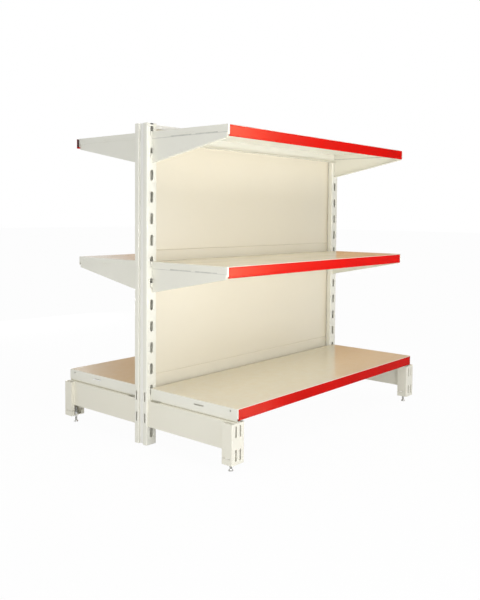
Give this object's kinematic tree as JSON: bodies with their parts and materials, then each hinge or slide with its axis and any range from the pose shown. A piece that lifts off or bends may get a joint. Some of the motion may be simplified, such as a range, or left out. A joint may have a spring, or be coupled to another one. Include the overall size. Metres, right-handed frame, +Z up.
{
  "type": "gondola shelving",
  "caption": "Double-sided low gondola shelving bay with slotted uprights, sheet back panels, hook-in bracket shelves, a base deck on legs with levelling feet, and price strips.",
  "frame": {"origin": "on the floor, under the middle of the bay", "axes": "+Z up, -Y towards the front side that the picture shows, +X along the shelves to the right"},
  "size_m": [1.059, 0.77, 0.992],
  "materials": {
    "powder_coat": "gloss",
    "panel_coat": "gloss",
    "red_strip": "gloss",
    "zinc_steel": "satin",
    "plug_plastic": "matte"
  },
  "bodies": {
    "frame": {"upright_core_left": "powder_coat", "core_plug_left": "plug_plastic", "upright_core_right": "powder_coat", "core_plug_right": "plug_plastic", "upright_caps": "plug_plastic", "tie_bar": "powder_coat", "tie_pins": "zinc_steel", "panel_cap": "powder_coat", "weld_nuts": "zinc_steel", "lock_nuts": "zinc_steel", "back_panel_upper_front": "panel_coat", "back_panel_lower_front": "panel_coat", "back_panel_bottom_front": "panel_coat", "upright_channel_front_left": "powder_coat", "leg_beam_front_left": "powder_coat", "leg_hook_front_left": "powder_coat", "leg_post_front_left": "powder_coat", "upright_channel_front_right": "powder_coat", "leg_beam_front_right": "powder_coat", "leg_hook_front_right": "powder_coat", "leg_post_front_right": "powder_coat", "back_panel_upper_rear": "panel_coat", "back_panel_lower_rear": "panel_coat", "back_panel_bottom_rear": "panel_coat", "upright_channel_rear_left": "powder_coat", "leg_beam_rear_left": "powder_coat", "leg_hook_rear_left": "powder_coat", "leg_post_rear_left": "powder_coat", "upright_channel_rear_right": "powder_coat", "leg_beam_rear_right": "powder_coat", "leg_hook_rear_right": "powder_coat", "leg_post_rear_right": "powder_coat"},
    "bracket_front_top_left": {"bracket_front_top_left": "powder_coat"},
    "bracket_front_top_right": {"bracket_front_top_right": "powder_coat"},
    "shelf_front_top": {"shelf_front_top": "powder_coat", "price_strip_front_top": "red_strip"},
    "bracket_front_mid_left": {"bracket_front_mid_left": "powder_coat"},
    "bracket_front_mid_right": {"bracket_front_mid_right": "powder_coat"},
    "shelf_front_mid": {"shelf_front_mid": "powder_coat", "price_strip_front_mid": "red_strip"},
    "base_deck_front": {"base_deck_front": "powder_coat", "base_stiffener_front": "powder_coat", "price_strip_front_base": "red_strip"},
    "levelling_foot_front_left": {"levelling_foot_front_left": "zinc_steel"},
    "levelling_foot_front_right": {"levelling_foot_front_right": "zinc_steel"},
    "bracket_rear_top_left": {"bracket_rear_top_left": "powder_coat"},
    "bracket_rear_top_right": {"bracket_rear_top_right": "powder_coat"},
    "shelf_rear_top": {"shelf_rear_top": "powder_coat", "price_strip_rear_top": "red_strip"},
    "bracket_rear_mid_left": {"bracket_rear_mid_left": "powder_coat"},
    "bracket_rear_mid_right": {"bracket_rear_mid_right": "powder_coat"},
    "shelf_rear_mid": {"shelf_rear_mid": "powder_coat", "price_strip_rear_mid": "red_strip"},
    "base_deck_rear": {"base_deck_rear": "powder_coat", "base_stiffener_rear": "powder_coat", "price_strip_rear_base": "red_strip"},
    "levelling_foot_rear_left": {"levelling_foot_rear_left": "zinc_steel"},
    "levelling_foot_rear_right": {"levelling_foot_rear_right": "zinc_steel"}
  },
  "joints": [
    {"name": "bracket_front_top_left_lift", "type": "slide", "parent": "frame", "child": "bracket_front_top_left", "axis": [0, 0, 1], "range_m": [0, 0.0125]},
    {"name": "bracket_front_top_right_lift", "type": "slide", "parent": "frame", "child": "bracket_front_top_right", "axis": [0, 0, 1], "range_m": [0, 0.0125]},
    {"name": "shelf_front_top_lift_off", "type": "slide", "parent": "bracket_front_top_left", "child": "shelf_front_top", "axis": [0, 0, 1], "range_m": [0, 0.06]},
    {"name": "bracket_front_mid_left_lift", "type": "slide", "parent": "frame", "child": "bracket_front_mid_left", "axis": [0, 0, 1], "range_m": [0, 0.0125]},
    {"name": "bracket_front_mid_right_lift", "type": "slide", "parent": "frame", "child": "bracket_front_mid_right", "axis": [0, 0, 1], "range_m": [0, 0.0125]},
    {"name": "shelf_front_mid_lift_off", "type": "slide", "parent": "bracket_front_mid_left", "child": "shelf_front_mid", "axis": [0, 0, 1], "range_m": [0, 0.06]},
    {"name": "base_deck_front_lift_off", "type": "slide", "parent": "frame", "child": "base_deck_front", "axis": [0, 0, 1], "range_m": [0, 0.06]},
    {"name": "levelling_foot_front_left_adjust", "type": "slide", "parent": "frame", "child": "levelling_foot_front_left", "axis": [0, 0, 1], "range_m": [-0.012, 0.014]},
    {"name": "levelling_foot_front_right_adjust", "type": "slide", "parent": "frame", "child": "levelling_foot_front_right", "axis": [0, 0, 1], "range_m": [-0.012, 0.014]},
    {"name": "bracket_rear_top_left_lift", "type": "slide", "parent": "frame", "child": "bracket_rear_top_left", "axis": [0, 0, 1], "range_m": [0, 0.0125]},
    {"name": "bracket_rear_top_right_lift", "type": "slide", "parent": "frame", "child": "bracket_rear_top_right", "axis": [0, 0, 1], "range_m": [0, 0.0125]},
    {"name": "shelf_rear_top_lift_off", "type": "slide", "parent": "bracket_rear_top_left", "child": "shelf_rear_top", "axis": [0, 0, 1], "range_m": [0, 0.06]},
    {"name": "bracket_rear_mid_left_lift", "type": "slide", "parent": "frame", "child": "bracket_rear_mid_left", "axis": [0, 0, 1], "range_m": [0, 0.0125]},
    {"name": "bracket_rear_mid_right_lift", "type": "slide", "parent": "frame", "child": "bracket_rear_mid_right", "axis": [0, 0, 1], "range_m": [0, 0.0125]},
    {"name": "shelf_rear_mid_lift_off", "type": "slide", "parent": "bracket_rear_mid_left", "child": "shelf_rear_mid", "axis": [0, 0, 1], "range_m": [0, 0.06]},
    {"name": "base_deck_rear_lift_off", "type": "slide", "parent": "frame", "child": "base_deck_rear", "axis": [0, 0, 1], "range_m": [0, 0.06]},
    {"name": "levelling_foot_rear_left_adjust", "type": "slide", "parent": "frame", "child": "levelling_foot_rear_left", "axis": [0, 0, 1], "range_m": [-0.012, 0.014]},
    {"name": "levelling_foot_rear_right_adjust", "type": "slide", "parent": "frame", "child": "levelling_foot_rear_right", "axis": [0, 0, 1], "range_m": [-0.012, 0.014]}
  ],
  "couplings": [
    {"joint": "bracket_front_top_right_lift", "follows": "bracket_front_top_left_lift", "ratio": 1},
    {"joint": "bracket_front_mid_right_lift", "follows": "bracket_front_mid_left_lift", "ratio": 1},
    {"joint": "bracket_rear_top_right_lift", "follows": "bracket_rear_top_left_lift", "ratio": 1},
    {"joint": "bracket_rear_mid_right_lift", "follows": "bracket_rear_mid_left_lift", "ratio": 1}
  ]
}
